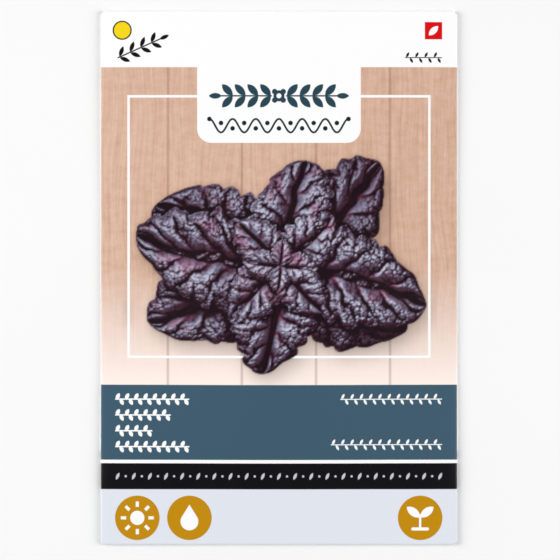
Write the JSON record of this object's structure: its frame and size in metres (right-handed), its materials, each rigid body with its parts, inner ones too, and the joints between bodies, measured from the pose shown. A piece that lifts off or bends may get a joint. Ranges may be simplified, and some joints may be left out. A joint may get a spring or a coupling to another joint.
{
  "type": "seed packet",
  "caption": "Flat folded paper seed packet with a lapped back seam and glued end flaps, holding a heat-sealed sachet of seed.",
  "frame": {"origin": "middle of the packet's back, on the surface that it lies on", "axes": "+X to the right and +Y up as the front is read, +Z out of the front"},
  "size_m": [0.08, 0.12, 0.0033],
  "materials": {
    "printed_paper": "coated white paper with a printed front, satin",
    "sachet_film": "thin foil laminate, satin",
    "seed": "dry seed coat, nearly black, matt"
  },
  "bodies": {
    "root": {"paper_packet": "printed_paper", "sachet_back_film": "sachet_film", "sachet_front_film": "sachet_film", "basil_seeds": "seed"}
  },
  "joints": []
}
